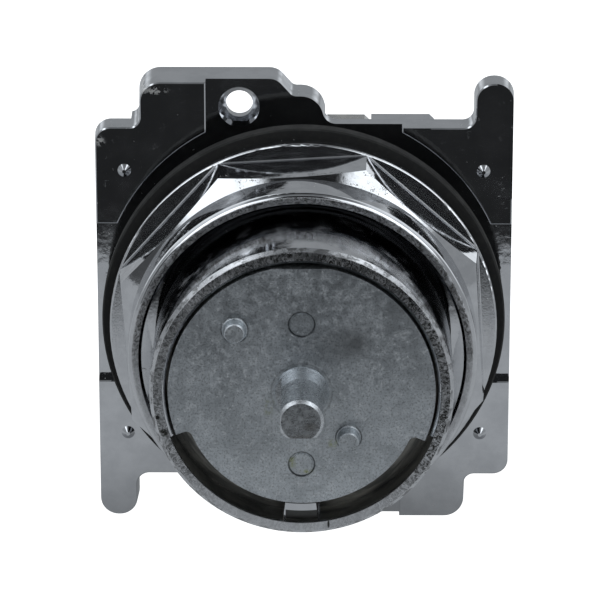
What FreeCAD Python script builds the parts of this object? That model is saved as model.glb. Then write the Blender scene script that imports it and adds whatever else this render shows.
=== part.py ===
import FreeCAD, Part
import math
import os

# Rotary switch operator for a 30.5 mm panel hole: a chromed casting with a threaded barrel,
# a ring nut, a three-position rotor with detent, and a face cam that drives two plungers.
# Millimetres. +X right, +Z up, the operator faces -Y. The origin is on the rotor's axis,
# in the plane of the casting's raised corner pads.

V = FreeCAD.Vector

# Casting: base plate
PLATE_HALF_W = 21.72
PLATE_HALF_H = 19.33
PLATE_BACK = 2.8
TAB_BACK = 5.0
TAB_TOP = 24.2
TAB_LEFT = 17.05
TAB_RIGHT = 2.2
TAB_STEP_Z = 22.3
TAB_STEP_X = -1.2
TAB_SHOULDER_X = -2.9
TAB_END_SLOPE = 0.75
TAB_RADIUS = 1.6
TAB_CORNER_R = 2.1
TAB_STEP_R = 1.0
TAB_END_R = 2.3
EAR_INNER = 17.81
EAR_TOP = 24.12
EAR_RADIUS = 1.9
PLATE_CORNER_R = 1.6
EAR_FOOT_R = 1.3
TAB_RIGHT_FOOT_R = 1.5
TAB_LEFT_FOOT_R = 1.1
PLATE_DRAFT = 0.22
PLATE_EDGE = 0.12
RECESS_FLOOR = 1.3
RECESS_HALF_W = 10.2
RECESS_HALF_H = 8.8
RECESS_RADIUS = 21.4
RIB_X0 = 7.0
RIB_X1 = 13.6
RIB_DEPTH_Z = 3.6
RIB_CHAMFER = 0.5
NIB_X = 18.7
NIB_Z = 14.67
NIB_RADIUS = 0.75
NIB_TIP_R = 0.2
NIB_HEIGHT = 0.5
SIDE_STEP_X = 20.0
SIDE_STEP_Z = 11.6
SIDE_STEP_DEPTH = 0.12

# Contact block screw holes, one in each tab
BLOCK_HOLE_X = -6.75
BLOCK_HOLE_Z = 21.2
BLOCK_HOLE_R = 1.425
BLOCK_SINK_R = 2.15
BLOCK_SINK_DEPTH = 1.2
BLOCK_RELIEF_R = 2.4
BLOCK_RELIEF_FRONT = 3.8

# Casting: barrel
BARREL_R = 15.2
BARREL_FRONT = -26.2
BARREL_CHAMFER = 0.4
POCKET_R = 13.65
POCKET_RELIEF_R = 14.0
POCKET_FLOOR = -22.7
POCKET_CHAMFER = 0.35
THREAD_FRONT = -15.4
THREAD_BACK = -0.5
THREAD_PITCH = 1.5
THREAD_DEPTH = 0.45
THREAD_PROFILE = (0.4, 0.5, 0.9)
JOURNAL_BORE_R = 6.5
WEB_BACK = -14.7
CAVITY_R = 12.0

# Stop lug in the barrel and the rotor's notch that swings round it
LUG_START = 262.3
LUG_END = 276.7
LUG_INNER_R = 12.2
LUG_FRONT = -25.3
LUG_STRIP = 0.9
LUG_SLOPE_DEPTH = 1.0
NOTCH_START = 200.0
NOTCH_END = 337.3
NOTCH_R = 11.9
NOTCH_CORNER_R = 0.6

# Gasket and washer behind the nut; the panel goes between the gasket and the pads
GASKET_OUTER_R = 20.95
GASKET_FRONT = -5.4
GASKET_BACK = -3.7
GASKET_EDGE = 0.15
STACK_INNER_R = 15.3
WASHER_OUTER_R = 19.7

# Ring nut
NUT_BACK = -5.9
FLANGE_R = 20.05
FLANGE_FRONT = -7.7
FLANGE_ROUND = 0.22
FLANGE_BACK_EDGE = 0.15
FLATS_R_BACK = 18.42
FLATS_R_FRONT = 18.1
FLATS_FOOT = 0.12
OCTAGON_FRONT = -12.6
OCTAGON_TURN = 3.5
CORNER_SETBACK = 0.9
OCTAGON_CORNER = 1 / math.cos(math.radians(22.5))
COLLAR_R = 17.9
COLLAR_SHOULDER_R = 17.75
COLLAR_ROUND = 0.65
COLLAR_FRONT = -16.75
COLLAR_LIP_R = 16.7
COLLAR_MOUTH_DEPTH = 0.4
NUT_THREAD_R = 15.25
NUT_COUNTERBORE_R = 16.4
NUT_COUNTERBORE_BACK = -9.5

# Rotor
DISC_R = 13.35
DISC_FRONT = -26.0
DISC_BACK = -23.6
DISC_FLAT_Z = 13.05
SHAFT_LENGTH = 8.1
SHAFT_R = 2.26
SHAFT_ROOT_R = 2.62
SHAFT_RING_R = 2.74
SHAFT_RING_LENGTH = 0.3
SHAFT_TAPER_LENGTH = 2.0
SHAFT_SIDE_FLAT = 2.0
SHAFT_FLAT = 1.69
SHAFT_FLAT_LENGTH = 3.6
SHAFT_TIP_CHAMFER = 0.3
DISC_PINS = ((-6.65, 6.6, 1.2, 1.02, 1.2), (4.7, -4.8, 1.15, 1.02, 1.5))
PIN_EDGE = 0.12
PIN_FOOT = 0.15
EJECTOR_MARKS_Z = (7.2, -7.7)
EJECTOR_MARK_R = 1.3
EJECTOR_MARK_DEPTH = 0.12
JOURNAL_R = 6.45
SHOULDER = -14.4
SEAL_GROOVE_FRONT = -20.6
SEAL_GROOVE_BACK = -19.1
SEAL_GROOVE_R = 5.2
SEAL_WIRE_R = 0.62
DRIVE_R = 5.0
DRIVE_FLAT = 3.9
DRIVE_END = -8.6
TAIL_R = 3.0
TAIL_GROOVE_R = 2.6
TAIL_END = 6.6
TAIL_CHAMFER = 0.4
FIT_GAP = 0.02
ROTOR_WASHER_THICKNESS = 0.8
ROTOR_WASHER_INNER_R = 6.7
ROTOR_WASHER_OUTER_R = 11.6

# Detent
DETENT_PLATE_R = 11.0
DETENT_PLATE_BACK = -12.9
DETENT_CIRCLE_R = 8.5
DETENT_STEP = 60.0
BALL_R = 1.5
BALL_GAP = 0.05
BALL_POCKET_R = 1.6
BALL_POCKET_FLOOR = -21.3
DIMPLE_R = 1.6
DIMPLE_DEPTH = 0.6
DETENT_SPRING_R = 1.1
DETENT_SPRING_WIRE_R = 0.17
DETENT_SPRING_TURNS = 5

# Face cam and plungers
CAM_OUTER_R = 11.5
CAM_HUB_R = 6.4
CAM_HUB_BACK = -9.9
CAM_MID_LEVEL = -6.5
CAM_RISE_PER_RADIAN = 1.9
CAM_SECTIONS = 13
CAM_RING_WIDTH = 0.8
CAM_RING_GROOVE_R = 4.2
CAM_RING_OUTER_R = 5.9
CAM_RING_GAP = 70
PLUNGER_X = 8.0
PLUNGER_R = 2.2
PLUNGER_BORE_R = 2.27
PLUNGER_END = 7.0
PLUNGER_CAM_GAP = 0.15
PLUNGER_CHAMFER = 0.4
PLUNGER_SPRING_R = 2.65
PLUNGER_SPRING_WIRE_R = 0.2
PLUNGER_SPRING_TURNS = 3.5
COLLAR_OUTER_R = 3.1
COLLAR_THICKNESS = 0.8
COLLAR_BEHIND_DOME = 0.5

# Rear closure
GUIDE_FRONT = 1.2
GUIDE_R = 11.95
TAIL_BORE_R = 3.06
RETAINER_BACK = 4.8
RETAINER_R = 16.2
RETAINER_TAB_X0 = 2.4
RETAINER_TAB_X1 = 6.8
SCREW_CIRCLE_R = 13.55
SCREW_R = 0.95
SCREW_HOLE_R = 1.0
SCREW_DEPTH = 6.0
SCREW_HEAD_R = 1.9
SCREW_HEAD_HEIGHT = 1.3
SCREW_HEAD_ROUND = 0.5
SCREW_SLOT_HALF_LENGTH = 1.1
SCREW_SLOT_HALF_WIDTH = 0.2
SCREW_SLOT_DEPTH = 0.7
SCREW_AZIMUTHS = (40.0, 140.0, 220.0, 320.0)
TAIL_WASHER_BACK = 5.0
TAIL_WASHER_R = 5.2
TAIL_RING_FRONT = 5.05
TAIL_RING_BACK = 5.65
TAIL_RING_OUTER_R = 4.6
TAIL_RING_GAP = 80


def axis_point(y):
    return V(0, y, 0)


def cylinder(radius, y0, y1, x=0.0, z=0.0):
    """Cylinder along +Y from y0 to y1."""
    return Part.makeCylinder(radius, y1 - y0, V(x, y0, z), V(0, 1, 0))


def cone(radius0, radius1, y0, y1, x=0.0, z=0.0):
    """Cone along +Y, radius0 at y0 and radius1 at y1."""
    return Part.makeCone(radius0, radius1, y1 - y0, V(x, y0, z), V(0, 1, 0))


def ring(inner, outer, y0, y1):
    return cylinder(outer, y0, y1).cut(cylinder(inner, y0, y1))


def box(x0, x1, y0, y1, z0, z1):
    return Part.makeBox(x1 - x0, y1 - y0, z1 - z0, V(x0, y0, z0))


def revolve(profile):
    """Turn an (r, y) outline about the Y axis. A step is a point, or (middle, end) for an arc."""
    edges = []
    here = profile[0]
    for step in list(profile[1:]) + [profile[0]]:
        start = V(here[0], here[1], 0)
        if isinstance(step[0], tuple):
            middle, end = step
            edges.append(Part.Arc(start, V(*middle, 0), V(*end, 0)).toShape())
        else:
            end = step
            edges.append(Part.makeLine(start, V(end[0], end[1], 0)))
        here = end
    return Part.Face(Part.Wire(edges)).revolve(V(0, 0, 0), V(0, 1, 0), 360)


def polar(radius, degrees, y=0.0):
    angle = math.radians(degrees)
    return V(radius * math.cos(angle), y, radius * math.sin(angle))


def turned(shape, degrees):
    """A copy turned about the Y axis, counter-clockwise as seen from the front."""
    copy = shape.copy()
    copy.rotate(V(0, 0, 0), V(0, -1, 0), degrees)
    return copy


def sector(radius, start, end, y0, y1):
    """Pie slice of a cylinder between two azimuths, measured from +X towards +Z."""
    corners = [axis_point(y0), polar(radius, start, y0), polar(radius, start, y1), axis_point(y1)]
    face = Part.Face(Part.makePolygon(corners + [corners[0]]))
    return face.revolve(V(0, 0, 0), V(0, -1, 0), end - start)


def rounded_face(corners, y):
    """Closed face at depth y through (x, z, radius) corners, each rounded by its radius."""
    count = len(corners)
    arcs = []
    for i, (x, z, radius) in enumerate(corners):
        here = V(x, y, z)
        before = V(corners[i - 1][0], y, corners[i - 1][1]) - here
        after = V(corners[(i + 1) % count][0], y, corners[(i + 1) % count][1]) - here
        half = before.getAngle(after) / 2
        before.normalize()
        after.normalize()
        inward = (before + after).normalize()
        reach = radius / math.tan(half)
        middle = here + inward * (radius / math.sin(half) - radius)
        arcs.append((here + before * reach, middle, here + after * reach))
    edges = []
    for i, (start, middle, end) in enumerate(arcs):
        edges.append(Part.Arc(start, middle, end).toShape())
        edges.append(Part.makeLine(end, arcs[(i + 1) % count][0]))
    return Part.Face(Part.Wire(edges))


def spring(coil_r, wire_r, y0, y1, turns, x=0.0, z=0.0):
    """Helical compression spring of eight-sided wire that lies between y0 and y1."""
    height = y1 - y0 - 2 * wire_r
    helix = Part.makeHelix(height / turns, height, coil_r)
    corners = [V(coil_r, 0, 0) + polar(wire_r, 45 * i) for i in range(8)]
    section = Part.makePolygon(corners + [corners[0]])
    coil = Part.Wire(helix.Edges).makePipeShell([section], True, True)
    coil.rotate(V(0, 0, 0), V(1, 0, 0), -90)
    coil.translate(V(x, y0 + wire_r, z))
    return coil


def double_d(radius, flat, y0, y1):
    """Round bar along Y with two flats facing +X and -X."""
    return cylinder(radius, y0, y1).common(box(-flat, flat, y0, y1, -radius, radius))


def grown(corners, grow):
    """The (x, z, radius) corners with every side moved outwards by grow; they run counter-clockwise."""
    count = len(corners)
    moved = []
    for i, (x, z, radius) in enumerate(corners):
        here = V(x, 0, z)
        along = here - V(corners[i - 1][0], 0, corners[i - 1][1])
        onward = V(corners[(i + 1) % count][0], 0, corners[(i + 1) % count][1]) - here
        side = V(along.z, 0, -along.x).normalize()
        next_side = V(onward.z, 0, -onward.x).normalize()
        shift = (side + next_side) * (grow / (1 + side.dot(next_side)))
        turns_in = along.z * onward.x - along.x * onward.z > 0
        moved.append((x + shift.x, z + shift.z, radius - grow if turns_in else radius + grow))
    return moved


def plate_outline(y):
    """Outline of the base plate at depth y: eased at the front, then wider to the rear by the draft."""
    half = [
        (PLATE_HALF_W, EAR_TOP, EAR_RADIUS),
        (EAR_INNER, EAR_TOP, EAR_RADIUS),
        (EAR_INNER, PLATE_HALF_H, EAR_FOOT_R),
        (TAB_RIGHT, PLATE_HALF_H, TAB_RIGHT_FOOT_R),
        (TAB_RIGHT - TAB_END_SLOPE, TAB_STEP_Z, TAB_END_R),
        (TAB_STEP_X, TAB_STEP_Z, TAB_STEP_R),
        (TAB_SHOULDER_X, TAB_TOP, TAB_RADIUS),
        (-TAB_LEFT, TAB_TOP, TAB_CORNER_R),
        (-TAB_LEFT, PLATE_HALF_H, TAB_LEFT_FOOT_R),
        (-PLATE_HALF_W, PLATE_HALF_H, PLATE_CORNER_R),
    ]
    corners = half + [(-x, -z, r) for x, z, r in half]
    grow = PLATE_DRAFT * y / TAB_BACK if y > 0 else -PLATE_EDGE
    return rounded_face(grown(corners, grow), y)


def channel(half_width):
    """Cutter for the lowered channel along Z, with its front edges eased."""
    side = [(half_width + 1 + PLATE_EDGE, -1), (half_width, PLATE_EDGE), (half_width, RECESS_FLOOR)]
    corners = [V(x, y, -30) for x, y in side] + [V(-x, y, -30) for x, y in reversed(side)]
    return Part.Face(Part.makePolygon(corners + [corners[0]])).extrude(V(0, 0, 60))


def base_plate():
    outlines = [plate_outline(y).OuterWire for y in (0.0, PLATE_EDGE, TAB_BACK)]
    deep = Part.makeLoft(outlines, True, True)
    plate = deep.common(box(-30, 30, 0, PLATE_BACK, -30, 30))
    tab = deep.common(box(-TAB_LEFT - 1, TAB_RIGHT, 0, TAB_BACK, PLATE_HALF_H - 2, TAB_TOP + 1))
    rib = box(RIB_X0, RIB_X1, 0, TAB_BACK, PLATE_HALF_H - RIB_DEPTH_Z, PLATE_HALF_H)
    rib = rib.makeChamfer(RIB_CHAMFER, [e for e in rib.Edges if abs(e.CenterOfMass.x - RIB_X1) < 0.01
                                and abs(e.CenterOfMass.y - TAB_BACK / 2) < 0.01])
    for extra in (tab, rib):
        plate = plate.fuse([extra, turned(extra, 180)])
    mouth = cone(RECESS_RADIUS + 1 + PLATE_EDGE, RECESS_RADIUS, -1, PLATE_EDGE)
    recess = cylinder(RECESS_RADIUS, 0, RECESS_FLOOR).fuse(
        [mouth, channel(RECESS_HALF_W), turned(channel(RECESS_HALF_H), 90)])
    plate = plate.cut(recess)
    return plate.cut(box(SIDE_STEP_X, 30, -1, SIDE_STEP_DEPTH, SIDE_STEP_Z, 30))


def locating_nibs():
    return [
        cone(NIB_TIP_R, NIB_RADIUS, -NIB_HEIGHT, 0.05, sx * NIB_X, sz * NIB_Z)
        for sx in (-1, 1) for sz in (-1, 1)
    ]


def block_hole():
    sink_end = RECESS_FLOOR + BLOCK_SINK_DEPTH
    sink = cone(BLOCK_SINK_R, BLOCK_HOLE_R, RECESS_FLOOR, sink_end, BLOCK_HOLE_X, BLOCK_HOLE_Z)
    through = cylinder(BLOCK_HOLE_R, 0, TAB_BACK + 1, BLOCK_HOLE_X, BLOCK_HOLE_Z)
    relief = cylinder(BLOCK_RELIEF_R, BLOCK_RELIEF_FRONT, TAB_BACK + 1, BLOCK_HOLE_X, BLOCK_HOLE_Z)
    return sink.fuse([through, relief])


def barrel_outside():
    """Outside of the barrel: plain nose, then thread ridges back to the plate."""
    profile = [(0.0, BARREL_FRONT), (BARREL_R - BARREL_CHAMFER, BARREL_FRONT),
               (BARREL_R, BARREL_FRONT + BARREL_CHAMFER), (BARREL_R, THREAD_FRONT)]
    ridges = int((THREAD_BACK - THREAD_FRONT) / THREAD_PITCH)
    root_start, root_end, crest = [part * THREAD_PITCH for part in THREAD_PROFILE]
    for i in range(ridges):
        y = THREAD_FRONT + i * THREAD_PITCH
        profile += [(BARREL_R - THREAD_DEPTH, y + root_start),
                    (BARREL_R - THREAD_DEPTH, y + root_end),
                    (BARREL_R, y + crest),
                    (BARREL_R, y + THREAD_PITCH)]
    profile += [(BARREL_R, PLATE_BACK), (0.0, PLATE_BACK)]
    return revolve(profile)


def barrel_inside():
    """Everything bored out of the barrel: front pocket, journal bore and rear cavity."""
    pocket = cylinder(POCKET_R, BARREL_FRONT - 1, POCKET_FLOOR)
    mouth = cone(POCKET_R + POCKET_CHAMFER + 1, POCKET_R, BARREL_FRONT - 1, BARREL_FRONT + POCKET_CHAMFER)
    relief = sector(POCKET_RELIEF_R, NOTCH_START, NOTCH_END + 3, BARREL_FRONT - 1, POCKET_FLOOR)
    return [pocket, mouth, relief, cylinder(JOURNAL_BORE_R, BARREL_FRONT, PLATE_BACK + 1),
            cylinder(CAVITY_R, WEB_BACK, PLATE_BACK + 1)]


def stop_lug():
    lug = sector(POCKET_RELIEF_R + 0.4, LUG_START, LUG_END, LUG_FRONT, POCKET_FLOOR + 0.5)
    lug = lug.cut(cylinder(LUG_INNER_R, LUG_FRONT - 1, POCKET_FLOOR + 1))
    slope_end = LUG_FRONT + LUG_SLOPE_DEPTH
    slope = cone(BARREL_R, LUG_INNER_R + 0.5, LUG_FRONT - 0.6, slope_end)
    front = cylinder(BARREL_R, LUG_FRONT - 1, slope_end).cut(slope)
    keep = cylinder(LUG_INNER_R + LUG_STRIP, LUG_FRONT - 1, POCKET_FLOOR + 1)
    return lug.cut(front.cut(keep))


def ball_pocket(azimuth):
    centre = polar(DETENT_CIRCLE_R, azimuth)
    return cylinder(BALL_POCKET_R, BALL_POCKET_FLOOR, WEB_BACK + 1, centre.x, centre.z)


def screw_hole(azimuth):
    centre = polar(SCREW_CIRCLE_R, azimuth)
    return cylinder(SCREW_HOLE_R, PLATE_BACK - SCREW_DEPTH, PLATE_BACK + 1, centre.x, centre.z)


def mounting_base():
    body = base_plate().fuse(locating_nibs() + [barrel_outside()])
    holes = [block_hole(), turned(block_hole(), 180)]
    holes += [ball_pocket(90), ball_pocket(270)]
    holes += [screw_hole(azimuth) for azimuth in SCREW_AZIMUTHS]
    body = body.cut(barrel_inside() + holes)
    return body.fuse(stop_lug()).removeSplitter()


def nut_thrust_washer():
    return ring(STACK_INNER_R, WASHER_OUTER_R, NUT_BACK, GASKET_FRONT)


def panel_gasket():
    outer = GASKET_OUTER_R - GASKET_EDGE
    return revolve([(STACK_INNER_R, GASKET_FRONT), (outer, GASKET_FRONT),
                    (GASKET_OUTER_R, GASKET_FRONT + GASKET_EDGE), (GASKET_OUTER_R, GASKET_BACK - GASKET_EDGE),
                    (outer, GASKET_BACK), (STACK_INNER_R, GASKET_BACK)])


def octagon_loft(back_r, back, front_r, front):
    """Eight-sided prism between two depths, with a different size across its flats at each."""
    wires = []
    for flats_r, y in ((back_r, back), (front_r, front)):
        corners = [polar(flats_r * OCTAGON_CORNER, OCTAGON_TURN + 22.5 + 45 * i, y) for i in range(8)]
        wires.append(Part.makePolygon(corners + [corners[0]]))
    return Part.makeLoft(wires, True, True)


def octagon():
    """Eight-sided grip, drawn in towards the front, its corners set back by a shallow cone."""
    grip = octagon_loft(FLATS_R_BACK, FLANGE_FRONT + 0.2, FLATS_R_FRONT, OCTAGON_FRONT)
    foot = octagon_loft(FLATS_R_BACK + 2 * FLATS_FOOT, FLANGE_FRONT + FLATS_FOOT,
                        FLATS_R_BACK, FLANGE_FRONT - FLATS_FOOT)
    grip = grip.fuse(foot.common(cylinder(FLANGE_R - FLANGE_ROUND, OCTAGON_FRONT, FLANGE_FRONT + 0.2)))
    corner_r = FLATS_R_FRONT * OCTAGON_CORNER
    slope = CORNER_SETBACK / (corner_r - COLLAR_R)
    far_r = corner_r + 3
    bound = revolve([(0, FLANGE_FRONT + 1), (far_r, FLANGE_FRONT + 1),
                     (far_r, OCTAGON_FRONT + slope * (far_r - COLLAR_R)),
                     (COLLAR_R, OCTAGON_FRONT), (0, OCTAGON_FRONT)])
    return grip.common(bound)


def rounding(radius, front, size):
    """Outline step that rounds a front outer edge, as the (middle, end) of its arc."""
    part = 1 - math.sqrt(0.5)
    return (radius - part * size, front + part * size), (radius - size, front)


def ring_nut():
    flange = revolve([(0, NUT_BACK), (FLANGE_R - FLANGE_BACK_EDGE, NUT_BACK),
                      (FLANGE_R, NUT_BACK - FLANGE_BACK_EDGE), (FLANGE_R, FLANGE_FRONT + FLANGE_ROUND),
                      rounding(FLANGE_R, FLANGE_FRONT, FLANGE_ROUND), (0, FLANGE_FRONT)])
    collar = revolve([(0, OCTAGON_FRONT + 0.5), (COLLAR_R, OCTAGON_FRONT + 0.5), (COLLAR_R, OCTAGON_FRONT),
                      (COLLAR_SHOULDER_R, COLLAR_FRONT + COLLAR_ROUND),
                      rounding(COLLAR_SHOULDER_R, COLLAR_FRONT, COLLAR_ROUND), (0, COLLAR_FRONT)])
    mouth = cone(COLLAR_LIP_R, NUT_COUNTERBORE_R, COLLAR_FRONT, COLLAR_FRONT + COLLAR_MOUTH_DEPTH)
    bores = [mouth, cylinder(NUT_COUNTERBORE_R, COLLAR_FRONT - 1, NUT_COUNTERBORE_BACK),
             cylinder(NUT_THREAD_R, COLLAR_FRONT, NUT_BACK + 1)]
    return flange.fuse([octagon(), collar]).cut(bores).removeSplitter()


def notch_cutter():
    """Material taken from the disc's rim so that it can swing past the stop lug."""
    full = sector(DISC_R + 1, NOTCH_START, NOTCH_END, DISC_FRONT - 1, DISC_BACK + 1)
    cutter = full.cut(cylinder(NOTCH_R, DISC_FRONT - 1, DISC_BACK + 1))
    corner_edges = [e for e in cutter.Edges
                    if abs(e.Length - (DISC_BACK - DISC_FRONT + 2)) < 0.01
                    and math.hypot(e.CenterOfMass.x, e.CenterOfMass.z) < NOTCH_R + 0.01]
    return cutter.makeFillet(NOTCH_CORNER_R, corner_edges)


def shaft_root():
    """Rear of the shaft: a ring at the disc, a taper, then a plain stretch up to the knob's flat."""
    face = DISC_FRONT
    end = face - SHAFT_LENGTH + SHAFT_FLAT_LENGTH
    bar = revolve([(0, end), (SHAFT_R, end), (SHAFT_R, face - SHAFT_TAPER_LENGTH),
                   (SHAFT_ROOT_R, face - SHAFT_RING_LENGTH), (SHAFT_RING_R, face),
                   (SHAFT_RING_R, face + 0.5), (0, face + 0.5)])
    return bar.cut(box(-4, -SHAFT_SIDE_FLAT, end - 1, face - SHAFT_RING_LENGTH, -4, 4))


def shaft_end():
    """Front of the shaft, with the knob's flat along its underside."""
    tip = DISC_FRONT - SHAFT_LENGTH
    end = tip + SHAFT_FLAT_LENGTH
    bar = revolve([(0, tip), (SHAFT_R - SHAFT_TIP_CHAMFER, tip), (SHAFT_R, tip + SHAFT_TIP_CHAMFER),
                   (SHAFT_R, end), (0, end)])
    return bar.cut([box(-4, -SHAFT_SIDE_FLAT, tip - 1, end + 1, -4, 4),
                    box(-4, 4, tip - 1, end + 1, -4, -SHAFT_FLAT)])


def disc_pins():
    """Tapered pins with a bevelled tip and a sloped foot."""
    pins = []
    for x, z, root_r, tip_r, height in DISC_PINS:
        tip = DISC_FRONT - height
        pin = revolve([(0, tip), (tip_r - PIN_EDGE, tip), (tip_r, tip + PIN_EDGE),
                       (root_r, DISC_FRONT - PIN_FOOT), (root_r + PIN_FOOT, DISC_FRONT),
                       (root_r + PIN_FOOT, DISC_FRONT + 0.1), (0, DISC_FRONT + 0.1)])
        pin.translate(V(x, 0, z))
        pins.append(pin)
    return pins


def ejector_marks():
    depth = DISC_FRONT + EJECTOR_MARK_DEPTH
    marks = []
    for z in EJECTOR_MARKS_Z:
        outer = cylinder(EJECTOR_MARK_R, DISC_FRONT - 1, depth, 0, z)
        marks.append(outer.cut(cylinder(EJECTOR_MARK_R - 0.2, DISC_FRONT - 1, depth, 0, z)))
    return marks


def rotor():
    disc = cylinder(DISC_R, DISC_FRONT, DISC_BACK)
    disc = disc.cut([notch_cutter(), box(-5, 5, DISC_FRONT - 1, DISC_BACK + 1, DISC_FLAT_Z, DISC_R + 1)])
    journal = cylinder(JOURNAL_R, DISC_BACK - 0.5, SHOULDER)
    drive = double_d(DRIVE_R, DRIVE_FLAT, SHOULDER - 0.5, DRIVE_END)
    tail = cylinder(TAIL_R, DRIVE_END - 0.5, TAIL_END)
    tail = tail.makeChamfer(TAIL_CHAMFER, [e for e in tail.Edges if abs(e.CenterOfMass.y - TAIL_END) < 0.01])
    body = disc.fuse([journal, drive, tail, shaft_root()] + disc_pins())
    grooves = [ring(SEAL_GROOVE_R, JOURNAL_R + 1, SEAL_GROOVE_FRONT, SEAL_GROOVE_BACK),
               ring(CAM_RING_GROOVE_R, DRIVE_R + 1, CAM_HUB_BACK, CAM_HUB_BACK + CAM_RING_WIDTH),
               ring(TAIL_GROOVE_R, TAIL_R + 1, TAIL_RING_FRONT, TAIL_RING_BACK)]
    return body.cut(grooves + ejector_marks()).removeSplitter().fuse(shaft_end())


def shaft_seal():
    middle = (SEAL_GROOVE_FRONT + SEAL_GROOVE_BACK) / 2
    return Part.makeTorus(SEAL_GROOVE_R + SEAL_WIRE_R, SEAL_WIRE_R, axis_point(middle), V(0, 1, 0))


def rotor_thrust_washer():
    front = POCKET_FLOOR - ROTOR_WASHER_THICKNESS
    return ring(ROTOR_WASHER_INNER_R, ROTOR_WASHER_OUTER_R, front, POCKET_FLOOR)


def drive_bore(y0, y1):
    return double_d(DRIVE_R + FIT_GAP, DRIVE_FLAT + FIT_GAP, y0, y1)


def detent_plate():
    plate = cylinder(DETENT_PLATE_R, SHOULDER, DETENT_PLATE_BACK)
    centre_y = SHOULDER + DIMPLE_DEPTH - DIMPLE_R
    dimples = []
    for i in range(6):
        centre = polar(DETENT_CIRCLE_R, 90 + i * DETENT_STEP, centre_y)
        dimples.append(Part.makeSphere(DIMPLE_R, centre))
    return plate.cut(dimples + [drive_bore(SHOULDER - 1, DETENT_PLATE_BACK + 1)])


def detent_ball(azimuth):
    centre_y = SHOULDER - BALL_R - BALL_GAP
    return Part.makeSphere(BALL_R, polar(DETENT_CIRCLE_R, azimuth, centre_y))


def detent_spring(azimuth):
    centre = polar(DETENT_CIRCLE_R, azimuth)
    ball_y = SHOULDER - BALL_R - BALL_GAP
    seat = ball_y - math.sqrt(BALL_R ** 2 - DETENT_SPRING_R ** 2)
    return spring(DETENT_SPRING_R, DETENT_SPRING_WIRE_R, BALL_POCKET_FLOOR, seat - BALL_GAP,
                  DETENT_SPRING_TURNS, centre.x, centre.z)


def cam_level(azimuth):
    """Depth of the cam's rear face: it rises evenly from the bottom of the switch to the top."""
    turn = azimuth if azimuth <= 90 else 180 - azimuth
    return CAM_MID_LEVEL + CAM_RISE_PER_RADIAN * math.radians(turn)


def cam_half(start):
    """Half of the ramp ring, lofted through radial sections over half a turn."""
    wires = []
    for i in range(CAM_SECTIONS):
        azimuth = start + 180.0 * i / (CAM_SECTIONS - 1)
        level = cam_level(azimuth)
        inner0 = polar(CAM_HUB_R - 0.3, azimuth, DETENT_PLATE_BACK)
        outer0 = polar(CAM_OUTER_R, azimuth, DETENT_PLATE_BACK)
        inner1 = polar(CAM_HUB_R - 0.3, azimuth, level)
        outer1 = polar(CAM_OUTER_R, azimuth, level)
        wires.append(Part.makePolygon([inner0, outer0, outer1, inner1, inner0]))
    return Part.makeLoft(wires, True, False)


def switching_cam():
    ramps = cam_half(-90).fuse(cam_half(90))
    hub = cylinder(CAM_HUB_R, DETENT_PLATE_BACK, CAM_HUB_BACK)
    space = cylinder(CAM_HUB_R, CAM_HUB_BACK, 0)
    bore = drive_bore(DETENT_PLATE_BACK - 1, CAM_HUB_BACK + 1)
    return ramps.fuse(hub).cut([space, bore]).removeSplitter()


def open_ring(inner, outer, y0, y1, gap_degrees):
    """Retaining ring with a gap at the top."""
    gap = sector(outer + 1, 90 - gap_degrees / 2, 90 + gap_degrees / 2, y0 - 1, y1 + 1)
    return ring(inner, outer, y0, y1).cut(gap)


def cam_retaining_ring():
    back = CAM_HUB_BACK + CAM_RING_WIDTH
    return open_ring(CAM_RING_GROOVE_R, CAM_RING_OUTER_R, CAM_HUB_BACK, back, CAM_RING_GAP)


def tail_retaining_ring():
    return open_ring(TAIL_GROOVE_R, TAIL_RING_OUTER_R, TAIL_RING_FRONT, TAIL_RING_BACK, TAIL_RING_GAP)


def tail_washer():
    return ring(TAIL_R + 0.1, TAIL_WASHER_R, RETAINER_BACK, TAIL_WASHER_BACK)


def dome_centre():
    """Depth of the plunger's dome centre, a set gap from the sloping cam face."""
    slope = math.atan(CAM_RISE_PER_RADIAN / PLUNGER_X)
    return CAM_MID_LEVEL + (PLUNGER_R + PLUNGER_CAM_GAP) / math.cos(slope)


def plunger(x):
    centre = dome_centre()
    collar = centre + COLLAR_BEHIND_DOME
    stem = cylinder(PLUNGER_R, centre, PLUNGER_END, x)
    end_edges = [e for e in stem.Edges if abs(e.CenterOfMass.y - PLUNGER_END) < 0.01]
    stem = stem.makeChamfer(PLUNGER_CHAMFER, end_edges)
    dome = Part.makeSphere(PLUNGER_R, V(x, centre, 0))
    flange = cylinder(COLLAR_OUTER_R, collar, collar + COLLAR_THICKNESS, x)
    return stem.fuse([dome, flange]).removeSplitter()


def plunger_spring(x):
    seat = dome_centre() + COLLAR_BEHIND_DOME + COLLAR_THICKNESS
    return spring(PLUNGER_SPRING_R, PLUNGER_SPRING_WIRE_R, seat + FIT_GAP, GUIDE_FRONT - FIT_GAP,
                  PLUNGER_SPRING_TURNS, x)


def plunger_guide():
    disc = cylinder(GUIDE_R, GUIDE_FRONT, PLATE_BACK)
    return disc.cut([cylinder(TAIL_BORE_R, GUIDE_FRONT - 1, PLATE_BACK + 1)]
                    + [cylinder(PLUNGER_BORE_R, GUIDE_FRONT - 1, PLATE_BACK + 1, x)
                       for x in (-PLUNGER_X, PLUNGER_X)])


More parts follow.
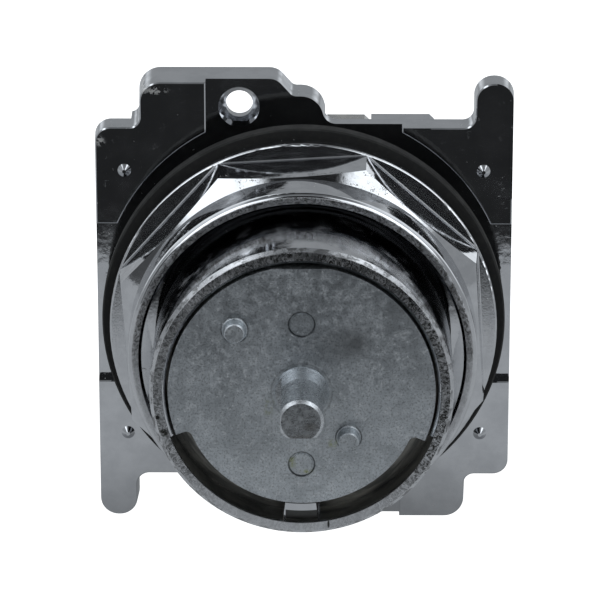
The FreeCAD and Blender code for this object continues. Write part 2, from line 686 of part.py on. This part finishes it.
def retainer_plate():
    y0, y1 = PLATE_BACK, RETAINER_BACK
    tab = box(RETAINER_TAB_X0, RETAINER_TAB_X1, y0, y1, 10, PLATE_HALF_H)
    tab = tab.makeChamfer(RIB_CHAMFER, [e for e in tab.Edges if abs(e.CenterOfMass.z - PLATE_HALF_H) < 0.01
                                and abs(e.CenterOfMass.x - RETAINER_TAB_X1) < 0.01])
    plate = cylinder(RETAINER_R, y0, y1).fuse([tab, turned(tab, 180)])
    holes = [cylinder(TAIL_R + 0.6, y0 - 1, y1 + 1)]
    holes += [cylinder(PLUNGER_R + 0.3, y0 - 1, y1 + 1, x) for x in (-PLUNGER_X, PLUNGER_X)]
    for azimuth in SCREW_AZIMUTHS:
        centre = polar(SCREW_CIRCLE_R, azimuth)
        holes.append(cylinder(SCREW_HOLE_R + 0.1, y0 - 1, y1 + 1, centre.x, centre.z))
    return plate.cut(holes).removeSplitter()


def retainer_screw(azimuth):
    """Pan head screw with a cross recess."""
    centre = polar(SCREW_CIRCLE_R, azimuth)
    seat = RETAINER_BACK
    top = seat + SCREW_HEAD_HEIGHT
    shank = cylinder(SCREW_R, PLATE_BACK - SCREW_DEPTH + 0.5, seat + 0.2, centre.x, centre.z)
    head = cylinder(SCREW_HEAD_R, seat, top, centre.x, centre.z)
    head = head.makeFillet(SCREW_HEAD_ROUND, [e for e in head.Edges if abs(e.CenterOfMass.y - top) < 0.01])
    slots = []
    for across, up in ((SCREW_SLOT_HALF_LENGTH, SCREW_SLOT_HALF_WIDTH),
                       (SCREW_SLOT_HALF_WIDTH, SCREW_SLOT_HALF_LENGTH)):
        slots.append(box(centre.x - across, centre.x + across, top - SCREW_SLOT_DEPTH, top + 1,
                         centre.z - up, centre.z + up))
    return head.fuse(shank).cut(slots)


def retainer_screws():
    return Part.makeCompound([retainer_screw(azimuth) for azimuth in SCREW_AZIMUTHS])


def parts():
    return {
        "mounting_base": mounting_base(),
        "panel_gasket": panel_gasket(),
        "nut_thrust_washer": nut_thrust_washer(),
        "ring_nut": ring_nut(),
        "rotor": rotor(),
        "shaft_seal": shaft_seal(),
        "rotor_thrust_washer": rotor_thrust_washer(),
        "detent_plate": detent_plate(),
        "detent_ball_top": detent_ball(90),
        "detent_ball_bottom": detent_ball(270),
        "detent_spring_top": detent_spring(90),
        "detent_spring_bottom": detent_spring(270),
        "switching_cam": switching_cam(),
        "cam_retaining_ring": cam_retaining_ring(),
        "plunger_left": plunger(-PLUNGER_X),
        "plunger_right": plunger(PLUNGER_X),
        "plunger_spring_left": plunger_spring(-PLUNGER_X),
        "plunger_spring_right": plunger_spring(PLUNGER_X),
        "plunger_guide": plunger_guide(),
        "retainer_plate": retainer_plate(),
        "retainer_screws": retainer_screws(),
        "tail_washer": tail_washer(),
        "tail_retaining_ring": tail_retaining_ring(),
    }


os.makedirs("parts", exist_ok=True)
for name, shape in parts().items():
    print(name, round(shape.Volume, 2), len(shape.Solids), shape.isValid())
    shape.exportStep("parts/" + name + ".step")
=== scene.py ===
import math

import bpy
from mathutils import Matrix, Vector


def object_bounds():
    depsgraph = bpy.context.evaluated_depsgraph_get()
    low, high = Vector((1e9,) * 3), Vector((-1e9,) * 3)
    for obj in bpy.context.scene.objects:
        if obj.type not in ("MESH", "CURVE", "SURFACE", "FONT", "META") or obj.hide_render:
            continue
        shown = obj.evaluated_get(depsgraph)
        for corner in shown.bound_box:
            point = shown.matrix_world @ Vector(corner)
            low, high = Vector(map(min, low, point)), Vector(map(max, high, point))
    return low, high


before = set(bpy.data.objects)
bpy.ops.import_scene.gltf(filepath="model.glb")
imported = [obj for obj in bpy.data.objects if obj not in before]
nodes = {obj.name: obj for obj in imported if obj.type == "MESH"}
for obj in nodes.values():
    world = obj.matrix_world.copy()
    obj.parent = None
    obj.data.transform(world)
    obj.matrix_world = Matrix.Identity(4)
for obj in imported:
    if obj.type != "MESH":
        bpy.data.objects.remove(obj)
cad_box = [list(corner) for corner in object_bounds()]
MM = 0.001

# Places on the part, in millimetres of its frame, where the finish changes
PLATE_SURFACE = -1.0
THREAD_FRONT = -14.0
NOSE_FRONT = -26.2
RIM_INNER_R = 13.95
RIM_OUTER_R = 14.8
POCKET_R = 14.06
POCKET_FLOOR = -22.4
LUG_HALF_W = 1.78
LUG_FRONT = -25.3
LUG_STRIP_OUTER_R = 13.0
CHAMFER_BACK = -11.6
CHAMFER_FRONT = -12.56
CHAMFER_INNER_R = 17.92
CHAMFER_OUTER_R = 19.6
COLLAR_FACE_INNER_R = 16.68
COLLAR_FACE_OUTER_R = 17.3
DISC_FRONT = -26.0
SHAFT_R = 2.95
SHAFT_TIP = -34.1
DISC_PINS = ((-6.65, 6.6, 1.32), (4.7, -4.8, 1.28))
EJECTOR_MARKS = ((0.0, 7.2, 1.3), (0.0, -7.7, 1.3))
SHAFT_ROOT = (0.0, 0.0, 3.05)
GASKET_EDGE_R = 20.72
COLLAR_FRONT = -16.5
FLANGE_FRONT = -7.7
FLANGE_INNER_R = 17.8

# Marked places: x, z, inner and outer radius, and how much it is squeezed across and up
TAB_WEAR = ((-15.5, 23.3, 0.2, 1.3, (0.55, 1.9)), (-21.2, 17.8, 0.1, 0.9))
RIM_CRACKS = ((-13.7, -4.3, 0.12, 0.5), (2.7, -14.1, 0.1, 0.4, (2.6, 0.6)), (-14.4, -2.6, 0.12, 0.3))
TIP_SMUDGES = ((0.9, -0.5, 0.2, 1.0, (1.0, 1.5)), (0.2, -1.7, 0.2, 1.5, (0.7, 2.2)))
GREASE_STAINS = ((-3.2, -1.6, 0.2, 1.2, (1.6, 0.75)), (3.1, -5.5, 0.15, 0.7),
                 (-0.9, -7.5, 0.2, 0.9, (1.6, 0.9)), (0.5, -8.5, 0.1, 0.8, (0.8, 2.0)))
# The same for the disc's smudges, with how dark each one is in front
DISC_SMUDGES = ((0.5, (5.4, 5.4, 0.5, 2.4)), (0.5, (3.0, 4.8, 0.8, 3.6, (0.8, 1.3))),
                (0.3, (9.3, 8.9, 0.4, 2.0)), (0.55, (5.5, 5.2, 0.1, 0.8)))

# How sharp small marks are
SPECK_LEVEL = 0.72
SPECK_EDGE = 0.025
# The rings are the disc's painted shade rings
RING_HALF_WIDTH = 0.13
RING_CORE = 0.03


# ---------- shader helpers ----------

class Paint:
    """A node tree around one Principled shader, with positions in millimetres of the part's frame."""

    def __init__(self, name, metallic=0.0, roughness=0.5, colour=(0.5, 0.5, 0.5), **fixed):
        self.material = bpy.data.materials.new(name)
        self.material.use_nodes = True
        self.tree = self.material.node_tree
        self.shader = self.tree.nodes["Principled BSDF"]
        self.shader.inputs["Metallic"].default_value = metallic
        self.shader.inputs["Roughness"].default_value = roughness
        self.shader.inputs["Base Color"].default_value = (*colour, 1)
        for key, value in fixed.items():
            self.shader.inputs[key.replace("_", " ")].default_value = value
        place = self.tree.nodes.new("ShaderNodeTexCoord").outputs["Object"]
        self.place = self.vector("SCALE", place, scale=1000.0)
        split = self.tree.nodes.new("ShaderNodeSeparateXYZ")
        self.tree.links.new(self.place, split.inputs[0])
        self.x, self.y, self.z = split.outputs
        self.radius = self.reach(0.0, 0.0)
        self.angle = self.math("MULTIPLY", self.math("ARCTAN2", self.z, self.x), 180 / math.pi)

    def feed(self, socket, value):
        if isinstance(value, bpy.types.NodeSocket):
            self.tree.links.new(value, socket)
        else:
            socket.default_value = value

    def math(self, operation, *values):
        node = self.tree.nodes.new("ShaderNodeMath")
        node.operation = operation
        for socket, value in zip(node.inputs, values):
            self.feed(socket, value)
        return node.outputs[0]

    def vector(self, operation, a, b=(0, 0, 0), scale=1.0):
        node = self.tree.nodes.new("ShaderNodeVectorMath")
        node.operation = operation
        self.feed(node.inputs[0], a)
        self.feed(node.inputs[1], b)
        if operation == "SCALE":
            node.inputs["Scale"].default_value = scale
        return node.outputs["Value"] if operation == "DISTANCE" else node.outputs[0]

    def stretched(self, sx, sy, sz):
        return self.vector("MULTIPLY", self.place, (sx, sy, sz))

    def polar(self, along_r, along_arc, along_y):
        """Coordinates that run round the axis, for turned and rubbed marks."""
        node = self.tree.nodes.new("ShaderNodeCombineXYZ")
        angle = self.math("ARCTAN2", self.z, self.x)
        self.feed(node.inputs[0], self.math("MULTIPLY", self.radius, along_r))
        self.feed(node.inputs[1], self.math("MULTIPLY", angle, along_arc))
        self.feed(node.inputs[2], self.math("MULTIPLY", self.y, along_y))
        return node.outputs[0]

    def noise(self, scale, detail=4.0, roughness=0.55, distortion=0.0, at=None):
        node = self.tree.nodes.new("ShaderNodeTexNoise")
        self.feed(node.inputs["Vector"], at or self.place)
        node.inputs["Scale"].default_value = scale
        node.inputs["Detail"].default_value = detail
        node.inputs["Roughness"].default_value = roughness
        node.inputs["Distortion"].default_value = distortion
        return node.outputs["Fac"]

    def between(self, value, low, high, to_low=0.0, to_high=1.0):
        """Maps low..high to to_low..to_high and holds the ends; low may be above high."""
        node = self.tree.nodes.new("ShaderNodeMapRange")
        node.interpolation_type = "SMOOTHSTEP"
        self.feed(node.inputs["Value"], value)
        node.inputs["From Min"].default_value = low
        node.inputs["From Max"].default_value = high
        node.inputs["To Min"].default_value = to_low
        node.inputs["To Max"].default_value = to_high
        return node.outputs["Result"]

    def band(self, value, start, end, soft):
        """1 from start to end, fading to 0 over soft outside them."""
        return self.times(self.between(value, start - soft, start), self.between(value, end + soft, end))

    def less(self, value):
        return self.math("SUBTRACT", 1.0, value)

    def add(self, *values):
        out = values[0]
        for value in values[1:]:
            out = self.math("ADD", out, value)
        return out

    def specks(self, scale, share):
        """Small sharp-edged marks; a larger share gives more of them."""
        return self.between(self.noise(scale, 3, 0.6), SPECK_LEVEL - share, SPECK_LEVEL + SPECK_EDGE - share)

    def slanted(self, degrees, along, across):
        """Front-plane coordinates turned by an angle, for scratches that run that way."""
        node = self.tree.nodes.new("ShaderNodeVectorRotate")
        node.rotation_type = "Y_AXIS"
        self.feed(node.inputs["Vector"], self.place)
        node.inputs["Angle"].default_value = math.radians(degrees)
        return self.vector("MULTIPLY", node.outputs[0], (along, 1.0, across))

    def hairlines(self, at, width=0.004):
        """Thin wandering scratches along the stretched direction, broken into short lengths."""
        level = self.math("ABSOLUTE", self.math("SUBTRACT", self.noise(1.0, 1, 0.5, at=at), 0.5))
        return self.times(self.between(level, width, 0.0), self.between(self.noise(0.8, 2), 0.6, 0.68))

    def times(self, *values):
        out = values[0]
        for value in values[1:]:
            out = self.math("MULTIPLY", out, value)
        return out

    def mix(self, amount, first, second):
        node = self.tree.nodes.new("ShaderNodeMix")
        node.data_type = "RGBA"
        self.feed(node.inputs["Factor"], amount)
        self.feed(node.inputs["A"], first if isinstance(first, bpy.types.NodeSocket) else (*first, 1))
        self.feed(node.inputs["B"], second if isinstance(second, bpy.types.NodeSocket) else (*second, 1))
        return node.outputs["Result"]

    def reach(self, x, z, squeeze=(1.0, 1.0)):
        """Distance in the front plane from a point; a larger squeeze counts that direction for more."""
        across = self.math("MULTIPLY", self.math("SUBTRACT", self.x, x), squeeze[0])
        up = self.math("MULTIPLY", self.math("SUBTRACT", self.z, z), squeeze[1])
        return self.math("SQRT", self.math("ADD", self.math("MULTIPLY", across, across),
                                           self.math("MULTIPLY", up, up)))

    def spot(self, x, z, inner, outer, squeeze=(1.0, 1.0)):
        """1 inside a soft round spot in the front plane, 0 outside it."""
        return self.between(self.reach(x, z, squeeze), outer, inner)

    def spots(self, places):
        return self.add(*[self.spot(*place) for place in places])

    def ring(self, x, z, radius):
        """1 on a thin soft circle in the front plane."""
        off = self.math("ABSOLUTE", self.math("SUBTRACT", self.reach(x, z), radius))
        return self.between(off, RING_HALF_WIDTH, RING_CORE)

    def finish(self, colour=None, roughness=None, height=None, depth_mm=0.05):
        if colour is not None:
            self.feed(self.shader.inputs["Base Color"], colour)
        if roughness is not None:
            self.feed(self.shader.inputs["Roughness"], roughness)
        if height is not None:
            bump = self.tree.nodes.new("ShaderNodeBump")
            bump.inputs["Strength"].default_value = 1.0
            bump.inputs["Distance"].default_value = depth_mm * MM
            self.feed(bump.inputs["Height"], height)
            self.tree.links.new(bump.outputs["Normal"], self.shader.inputs["Normal"])
        return self.material


# ---------- materials ----------

def chrome_casting():
    """Bright chrome over a die casting: clear on the plate, worn on the rim, greasy inside the barrel, with
    painted shade in the lug's crease.
    """
    p = Paint("chrome_casting", metallic=1.0)
    cloud = p.noise(0.28, 5, 0.6)
    fine = p.noise(3.0, 6, 0.65)
    on_plate = p.between(p.y, PLATE_SURFACE, PLATE_SURFACE + 0.4)
    on_nose = p.between(p.y, THREAD_FRONT, THREAD_FRONT - 2.0)

    flecks = p.times(on_plate, p.specks(2.4, 0.03), p.between(p.noise(0.25, 2), 0.45, 0.65))
    scratches = p.times(on_plate, p.add(p.hairlines(p.slanted(12, 0.22, 1.5)),
                                        p.hairlines(p.slanted(-63, 0.18, 1.3))))
    tab_wear = p.times(on_plate, p.spots(TAB_WEAR), p.specks(1.6, 0.24))
    worn = p.math("MINIMUM", p.add(p.times(flecks, 0.7), p.times(scratches, 0.4), tab_wear), 1.0)

    streaks = p.noise(1.0, 5, 0.6, at=p.polar(1.0, 5.0, 0.25))
    scuffs = p.times(on_nose, p.between(streaks, 0.5, 0.66))
    bevel = p.times(p.between(p.y, NOSE_FRONT + 0.5, NOSE_FRONT + 0.35),
                    p.between(p.radius, RIM_OUTER_R, RIM_OUTER_R + 0.1))
    bevel_marks = p.times(bevel, p.between(p.noise(1.2, 5, 0.7, at=p.polar(1.0, 9.0, 1.0)), 0.48, 0.58))

    rim = p.times(p.between(p.y, NOSE_FRONT + 0.18, NOSE_FRONT + 0.06),
                  p.band(p.radius, RIM_INNER_R, RIM_OUTER_R, 0.06))
    rim_marks = p.noise(1.6, 8, 0.8, 2.0, at=p.polar(0.8, 16.0, 1.0))
    right_rim = p.between(p.x, -12.0, 4.0, 0.75, 1.0)
    upper_rim = p.between(p.z, -13.0, -7.0, 0.25, 1.0)
    dark_rim = p.times(rim, p.between(rim_marks, 0.44, 0.56), right_rim, upper_rim)
    bright_rim = p.times(rim, p.between(rim_marks, 0.42, 0.34), p.between(p.z, -13.0, -6.0, 0.2, 1.0))
    rim_cracks = p.times(rim, p.spots(RIM_CRACKS))

    lug = p.times(p.band(p.x, -LUG_HALF_W, LUG_HALF_W, 0.02), p.between(p.z, -11.0, -12.0))
    lug_strip = p.times(p.between(p.y, LUG_FRONT + 0.1, LUG_FRONT + 0.04),
                        p.band(p.radius, LUG_STRIP_OUTER_R - 0.7, LUG_STRIP_OUTER_R, 0.04))
    lug_front = p.times(lug, p.less(lug_strip))
    lug_sides = p.times(p.less(p.band(p.x, -1.6, 1.6, 0.05)), lug)
    pocket = p.times(p.between(p.radius, POCKET_R + 0.06, POCKET_R),
                     p.between(p.y, NOSE_FRONT + 0.25, NOSE_FRONT + 0.5),
                     p.between(p.y, POCKET_FLOOR + 0.9, POCKET_FLOOR),
                     p.add(p.less(lug), p.times(lug_front, p.less(lug_sides))))

    chrome = p.mix(p.between(cloud, 0.35, 0.65), (0.56, 0.57, 0.59), (0.64, 0.65, 0.67))
    colour = p.mix(worn, chrome, (0.72, 0.71, 0.69))
    colour = p.mix(p.math("MINIMUM", p.add(dark_rim, rim_cracks), 1.0), colour, (0.045, 0.045, 0.042))
    colour = p.mix(bright_rim, colour, (0.9, 0.91, 0.92))
    colour = p.mix(p.times(bevel_marks, 0.7), colour, (0.10, 0.10, 0.10))
    film = p.noise(0.9, 4, at=p.polar(2.0, 3.0, 0.6))
    grease = p.mix(p.between(film, 0.35, 0.65), (0.15, 0.15, 0.145), (0.36, 0.35, 0.325))
    colour = p.mix(pocket, colour, grease)
    # Painted shade: near-black in the crease where the lug's front meets the pocket wall
    lug_crease_shade = p.times(lug_front, p.less(lug_sides), p.between(p.radius, POCKET_R, POCKET_R - 0.16))
    colour = p.mix(lug_crease_shade, colour, (0.08, 0.08, 0.078))

    rough = p.add(p.between(cloud, 0.35, 0.7, 0.035, 0.11), p.between(fine, 0.5, 0.8, 0.0, 0.05))
    rough = p.add(rough, p.times(worn, 0.45), p.times(scuffs, 0.16), p.times(rim, 0.22),
                  p.times(pocket, 0.26), p.times(bevel, 0.16))
    height = p.add(p.times(p.noise(0.7, 3), 0.6), p.times(rim, rim_marks, 1.4), p.times(worn, -0.25))
    return p.finish(colour, rough, height, 0.022)


def chrome_nut():
    """Chrome on the ring nut: polished grip, specks of wear on the chamfers, a rough collar face with
    speckled wear and a painted dark reflection.
    """
    p = Paint("chrome_nut", metallic=1.0)
    cloud = p.noise(0.5, 5, 0.6)
    collar_face = p.times(p.between(p.y, COLLAR_FRONT, COLLAR_FRONT - 0.12),
                          p.between(p.radius, COLLAR_FACE_OUTER_R + 0.12, COLLAR_FACE_OUTER_R),
                          p.between(p.radius, COLLAR_FACE_INNER_R - 0.06, COLLAR_FACE_INNER_R))
    chamfers = p.times(p.band(p.y, CHAMFER_FRONT, CHAMFER_BACK, 0.06),
                       p.band(p.radius, CHAMFER_INNER_R, CHAMFER_OUTER_R, 0.03))
    near_top = p.band(p.angle, 58, 112, 6)
    flange_face = p.times(p.between(p.y, FLANGE_FRONT - 0.2, FLANGE_FRONT - 0.02),
                          p.between(p.radius, FLANGE_INNER_R, FLANGE_INNER_R + 0.4))

    face_marks = p.noise(2.0, 8, 0.8, 1.5, at=p.polar(1.0, 12.0, 1.0))
    # Collar's flat front face: speckled wear plus a painted dark reflection, painted darker on the upper
    # half
    upper = p.between(p.z, -4.0, 4.0)
    worn_face_and_painted_reflection = p.times(collar_face, p.between(face_marks, 0.4, 0.6), p.between(upper, 0, 1, 0.25, 0.9))
    pits = p.times(chamfers, near_top, p.specks(7.0, 0.16), p.between(p.noise(0.8, 2), 0.46, 0.58))
    few = p.times(p.specks(2.4, 0.03), p.between(p.noise(0.3, 2), 0.5, 0.65))

    chrome = p.mix(p.between(cloud, 0.35, 0.65), (0.57, 0.58, 0.60), (0.65, 0.66, 0.68))
    colour = p.mix(p.math("MINIMUM", p.add(worn_face_and_painted_reflection, pits), 1.0), chrome, (0.055, 0.05, 0.045))
    colour = p.mix(few, colour, (0.72, 0.72, 0.71))

    streaks = p.noise(1.0, 4, 0.6, at=p.polar(2.5, 3.0, 2.5))
    rough = p.add(p.between(cloud, 0.35, 0.7, 0.03, 0.09), p.between(streaks, 0.5, 0.7, 0.0, 0.06))
    rough = p.add(rough, p.times(collar_face, 0.3), p.times(few, 0.4), p.times(flange_face, 0.05))
    grain = p.times(p.noise(5.0, 4, 0.7), p.add(p.times(flange_face, 0.5), p.times(collar_face, 1.2)))
    height = p.add(p.times(p.noise(0.6, 3), 0.6), grain)
    return p.finish(colour, rough, height, 0.015)


def bare_zinc():
    """Unplated die-cast zinc with grease stains, a finger-dark smudge, a brighter turned shaft and painted
    shade rings round the pins and marks.
    """
    p = Paint("bare_zinc", metallic=1.0)
    disc = p.between(p.y, DISC_FRONT - 0.12, DISC_FRONT - 0.06)
    shaft = p.times(p.between(p.y, DISC_FRONT - 0.1, DISC_FRONT - 0.2),
                    p.between(p.radius, SHAFT_R, SHAFT_R - 0.1))
    tip = p.between(p.y, SHAFT_TIP + 0.06, SHAFT_TIP + 0.01)

    cloud = p.noise(0.32, 6, 0.65)
    mottle = p.noise(1.6, 6, 0.7)
    grain = p.noise(4.5, 5, 0.75)
    smudge = p.add(*[p.times(p.spot(*place), depth) for depth, place in DISC_SMUDGES])
    smudge = p.times(p.math("MINIMUM", smudge, 1.0), disc, p.between(mottle, 0.3, 0.6, 0.75, 1.0))
    tip_smudge = p.times(tip, p.spots(TIP_SMUDGES))
    grease = p.times(p.math("MINIMUM", p.spots(GREASE_STAINS), 1.0), disc,
                     p.between(p.noise(1.8, 5, 0.7), 0.4, 0.62))

    # Painted shade: dark rings round the pins' roots, the ejector marks' outlines and the shaft's root
    pin_shade_rings = [p.ring(x, z, radius) for x, z, radius in DISC_PINS + EJECTOR_MARKS]
    painted_shade_rings = p.math("MINIMUM", p.add(*pin_shade_rings, p.times(p.ring(*SHAFT_ROOT), 0.35)), 1.0)
    painted_shade_rings = p.times(painted_shade_rings, disc, p.between(p.noise(1.4, 3), 0.3, 0.55, 0.35, 1.0))
    specks = p.times(disc, p.specks(3.2, 0.05))

    zinc = p.mix(p.between(cloud, 0.38, 0.62), (0.47, 0.50, 0.525), (0.60, 0.635, 0.665))
    zinc = p.mix(p.times(p.between(mottle, 0.5, 0.66), 0.5), zinc, (0.78, 0.80, 0.82))
    zinc = p.mix(p.times(p.between(grain, 0.5, 0.6), 0.6), zinc, (0.22, 0.23, 0.24))
    zinc = p.mix(p.times(specks, 0.6), zinc, (0.85, 0.87, 0.89))
    zinc = p.mix(p.times(painted_shade_rings, 0.85), zinc, (0.07, 0.075, 0.08))
    colour = p.mix(p.times(smudge, 0.75), zinc, (0.13, 0.135, 0.14))
    colour = p.mix(p.times(p.math("MINIMUM", tip_smudge, 1.0), 0.7), colour, (0.10, 0.085, 0.06))
    colour = p.mix(p.times(grease, 0.65), colour, (0.33, 0.36, 0.13))
    colour = p.mix(p.times(shaft, 0.35), colour, (0.62, 0.63, 0.65))

    rough = p.add(p.between(mottle, 0.3, 0.7, 0.34, 0.5), p.times(shaft, -0.14), p.times(grease, -0.08))
    height = p.add(p.times(grain, 0.5), p.times(mottle, 0.8))
    return p.finish(colour, rough, height, 0.02)


def black_rubber():
    """Dull rubber, with a painted highlight along the gasket's outer edge."""
    p = Paint("black_rubber", roughness=0.85, Specular_IOR_Level=0.25)
    dust = p.noise(1.5, 5)
    # Painted highlight: a paler, patchy band along the gasket's outer edge
    edge_highlight = p.times(p.between(p.radius, GASKET_EDGE_R, GASKET_EDGE_R + 0.1),
                        p.between(p.noise(0.5, 3), 0.35, 0.6, 0.3, 1.0))
    colour = p.mix(p.between(dust, 0.4, 0.7), (0.013, 0.013, 0.013), (0.021, 0.021, 0.02))
    colour = p.mix(p.times(edge_highlight, 0.5), colour, (0.05, 0.05, 0.048))
    return p.finish(colour, p.between(dust, 0.3, 0.7, 0.75, 0.95), p.noise(6.0, 5, 0.6), 0.012)


def plated_steel():
    """Zinc-plated steel for the small parts at the back and inside."""
    p = Paint("plated_steel", metallic=1.0)
    cloud = p.noise(0.8, 4)
    scratches = p.hairlines(p.stretched(0.3, 1.0, 1.4))
    colour = p.mix(p.between(cloud, 0.35, 0.65), (0.50, 0.50, 0.49), (0.62, 0.61, 0.58))
    rough = p.add(p.between(cloud, 0.3, 0.7, 0.2, 0.34), p.times(scratches, 0.25))
    return p.finish(colour, rough, p.noise(4.0, 3), 0.01)


def moulded(name, dark, light):
    """Plain moulded plastic, cloudy between two close colours."""
    p = Paint(name)
    cloud = p.noise(0.9, 4)
    return p.finish(p.mix(cloud, dark, light), p.between(cloud, 0.3, 0.7, 0.4, 0.55), p.noise(8.0, 3), 0.01)


casting = chrome_casting()
nut_chrome = chrome_nut()
zinc = bare_zinc()
rubber = black_rubber()
steel = plated_steel()
black_nylon = moulded("black_nylon", (0.012, 0.012, 0.013), (0.02, 0.02, 0.021))
white_acetal = moulded("white_acetal", (0.62, 0.61, 0.57), (0.7, 0.69, 0.65))

finish_of = {
    "mounting_base": casting, "ring_nut": nut_chrome, "rotor": zinc,
    "panel_gasket": rubber, "nut_thrust_washer": rubber, "shaft_seal": rubber,
    "rotor_thrust_washer": white_acetal, "switching_cam": black_nylon, "plunger_guide": black_nylon,
    "plunger_left": white_acetal, "plunger_right": white_acetal,
}
for name, node in nodes.items():
    chosen = finish_of.get(name, steel)
    if not node.material_slots:
        node.data.materials.append(chosen)
    for slot in node.material_slots:
        slot.material = chosen


# ---------- stage, light and camera ----------

FRONT_GAP = 27.0            # degrees each side of the camera that stay dark
GAP_SOFT = 5.0
ROOM_LIGHT = 0.36
FLOOR_LIGHT = 0.47
LIGHT_TINT = (0.915, 0.96, 1.0, 1)
CARD_FRONT = 84.0           # millimetres in front of the pads where the pale floor ends ahead of the camera
FLOOR_HALF = 4.0            # metres
CARD_HALF = 0.6
CAMERA_DISTANCE = 0.450
CAMERA_ELEVATION = 20.0     # degrees
CAMERA_AZIMUTH = 0.5


def new_material(name):
    material = bpy.data.materials.new(name)
    material.use_nodes = True
    return material


def sheet(name, half, z, material):
    mesh = bpy.data.meshes.new(name)
    corners = [(-half, -half, z), (half, -half, z), (half, half, z), (-half, half, z)]
    mesh.from_pydata(corners, [], [(0, 1, 2, 3)])
    mesh.materials.append(material)
    thing = bpy.data.objects.new(name, mesh)
    bpy.context.scene.collection.objects.link(thing)
    return thing


def floor_paper():
    material = new_material("floor_paper")
    shader = material.node_tree.nodes["Principled BSDF"]
    shader.inputs["Base Color"].default_value = (0.9, 0.9, 0.9, 1)
    shader.inputs["Roughness"].default_value = 0.9
    shader.inputs["Emission Color"].default_value = (1, 1, 1, 1)
    shader.inputs["Emission Strength"].default_value = 1.0
    return material


def floor_card():
    """What the chrome sees below it: pale paper, dark ahead of the camera and in the part's own shade."""
    p = Paint("floor_card", roughness=1.0, colour=(0.0, 0.0, 0.0))
    side = p.math("ABSOLUTE", p.math("MULTIPLY", p.math("ARCTAN2", p.x, p.times(p.y, -1.0)), 180 / math.pi))
    ahead = p.times(p.between(side, FRONT_GAP + GAP_SOFT, FRONT_GAP),
                    p.between(p.times(p.y, -1.0), CARD_FRONT - 5, CARD_FRONT + 5))
    reach = p.vector("DISTANCE", p.stretched(1, 1, 0), (0, 25, 0))
    shade = p.between(reach, 55, 20)
    light = p.times(p.less(p.times(ahead, 0.95)), p.less(p.times(shade, 0.55)))
    p.shader.inputs["Emission Color"].default_value = LIGHT_TINT
    p.feed(p.shader.inputs["Emission Strength"], p.times(light, FLOOR_LIGHT))
    p.shader.inputs["Specular IOR Level"].default_value = 0.0
    return p.material


floor_z = cad_box[0][2]
floor = sheet("floor", FLOOR_HALF, floor_z - 0.0003, floor_paper())
floor.visible_glossy = False
floor.visible_diffuse = False
card = sheet("floor_near", CARD_HALF, floor_z - 0.0002, floor_card())
card.visible_camera = False


def studio_world():
    """Soft boxes at both sides and behind in a grey room, with a dark gap round the camera."""
    world = bpy.data.worlds.new("studio")
    bpy.context.scene.world = world
    world.use_nodes = True
    tree = world.node_tree
    link = tree.links.new

    def math_node(operation, *values):
        node = tree.nodes.new("ShaderNodeMath")
        node.operation = operation
        for socket, value in zip(node.inputs, values):
            if isinstance(value, bpy.types.NodeSocket):
                link(value, socket)
            else:
                socket.default_value = value
        return node.outputs[0]

    def times(*values):
        out = values[0]
        for value in values[1:]:
            out = math_node("MULTIPLY", out, value)
        return out

    def ramp(value, zero_at, one_at):
        node = tree.nodes.new("ShaderNodeMapRange")
        node.interpolation_type = "SMOOTHSTEP"
        link(value, node.inputs["Value"])
        node.inputs["From Min"].default_value = zero_at
        node.inputs["From Max"].default_value = one_at
        return node.outputs["Result"]

    def band(value, start, end, soft):
        return times(ramp(value, start - soft, start), ramp(value, end + soft, end))

    split = tree.nodes.new("ShaderNodeSeparateXYZ")
    link(tree.nodes.new("ShaderNodeTexCoord").outputs["Generated"], split.inputs[0])
    x, y, z = split.outputs
    turn = times(math_node("ARCTAN2", x, times(y, -1.0)), 180 / math.pi)
    side = math_node("ABSOLUTE", turn)
    height = times(math_node("ARCSINE", z), 180 / math.pi)

    # Darker parts of the room: (where, how much is taken away)
    shades = [
        (times(ramp(side, FRONT_GAP + GAP_SOFT, FRONT_GAP), ramp(height, 62, 54)), 0.93),
        (times(band(turn, -58, -30, 6), band(height, -2, 22, 4)), 0.75),
        (times(ramp(side, 128, 146), ramp(height, 54, 62)), 0.85),
        (ramp(height, 60, 72), 0.5),
    ]
    # Soft boxes: (from and to side, from and to height, softness, strength)
    boxes = [
        ((20, 62), (22, 53), 8, 1.75),
        ((82, 112), (30, 58), 8, 0.6),
        ((120, 156), (6, 50), 8, 0.75),
    ]
    light = ROOM_LIGHT
    for where, depth in shades:
        light = times(math_node("SUBTRACT", 1.0, times(where, depth)), light)
    for (side0, side1), (height0, height1), soft, strength in boxes:
        box = times(band(side, side0, side1, soft), band(height, height0, height1, soft))
        light = math_node("ADD", light, times(box, strength))
    seen = tree.nodes.new("ShaderNodeLightPath").outputs["Is Camera Ray"]
    light = math_node("ADD", times(light, math_node("SUBTRACT", 1.0, seen)), times(seen, 1.1))
    link(light, tree.nodes["Background"].inputs["Strength"])
    tree.nodes["Background"].inputs["Color"].default_value = LIGHT_TINT


studio_world()

camera_data = bpy.data.cameras.new("camera")
camera_data.sensor_width = 36.0
camera_data.lens = 256.5
camera_data.shift_x = -0.0065
camera_data.shift_y = 0.0053
camera = bpy.data.objects.new("camera", camera_data)
bpy.context.scene.collection.objects.link(camera)
elevation = math.radians(CAMERA_ELEVATION)
azimuth = math.radians(CAMERA_AZIMUTH)
back = Vector((math.sin(azimuth) * math.cos(elevation), -math.cos(azimuth) * math.cos(elevation),
               math.sin(elevation)))
camera.location = back * CAMERA_DISTANCE
camera.rotation_mode = "QUATERNION"
camera.rotation_quaternion = (-back).to_track_quat("-Z", "Y")
camera_data.clip_start = 0.01
bpy.context.scene.camera = camera
bpy.context.scene.view_settings.view_transform = "Standard"
